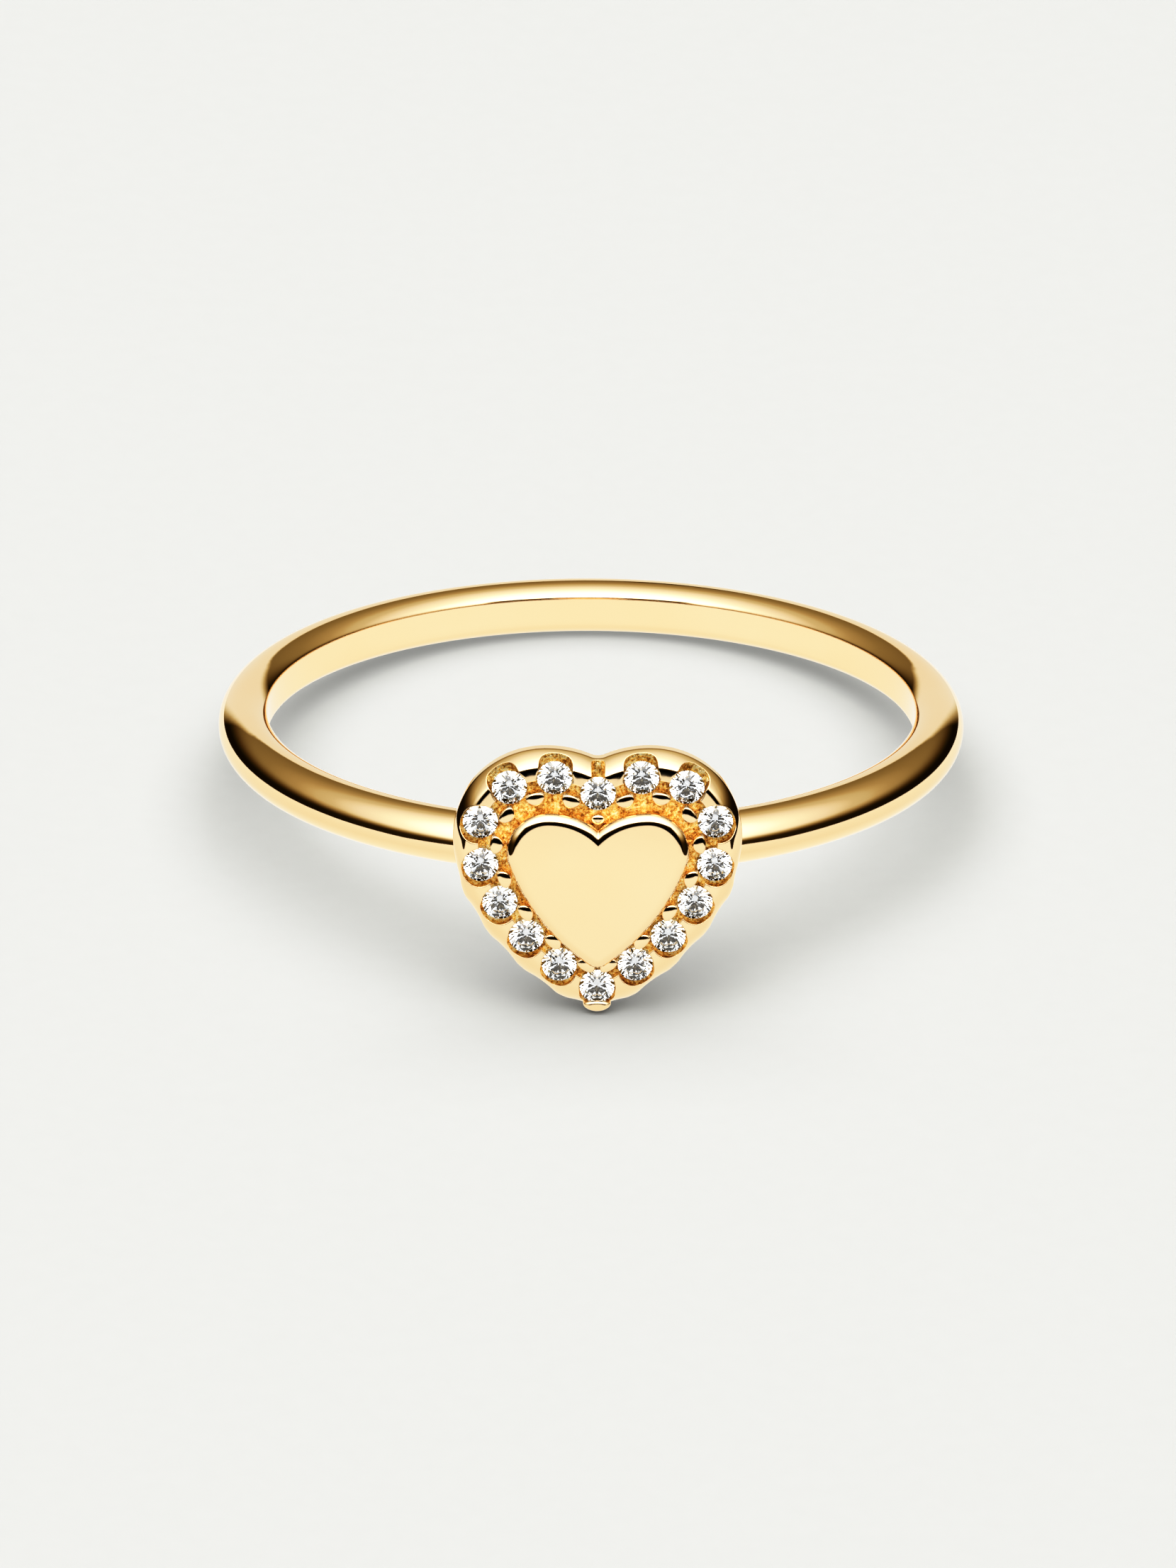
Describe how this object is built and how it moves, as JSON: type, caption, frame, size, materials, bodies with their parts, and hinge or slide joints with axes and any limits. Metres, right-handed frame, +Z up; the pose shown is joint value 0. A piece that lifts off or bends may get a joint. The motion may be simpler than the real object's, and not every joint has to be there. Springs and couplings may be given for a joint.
{
  "type": "heart ring",
  "caption": "Polished gold finger ring lying on its side, with a heart-shaped halo of small round brilliants around a raised plain heart.",
  "frame": {"origin": "bottom centre of the ring's box, on the surface that it lies on", "axes": "+Z up from the surface; the heart faces -Y, towards the viewer; +X is the viewer's right. The finger hole's axis leans back from +Z by 8.0 degrees, because the heart's tip props the front up"},
  "size_m": [0.0198, 0.0224, 0.0071],
  "materials": {
    "yellow_gold": "high polish",
    "clear_stone": "faceted and polished"
  },
  "bodies": {
    "root": {"ring_body": "yellow_gold", "stone_01": "clear_stone", "stone_02": "clear_stone", "stone_03": "clear_stone", "stone_04": "clear_stone", "stone_05": "clear_stone", "stone_06": "clear_stone", "stone_07": "clear_stone", "stone_08": "clear_stone", "stone_09": "clear_stone", "stone_10": "clear_stone", "stone_11": "clear_stone", "stone_12": "clear_stone", "stone_13": "clear_stone", "stone_14": "clear_stone", "stone_15": "clear_stone", "stone_16": "clear_stone"}
  },
  "joints": []
}
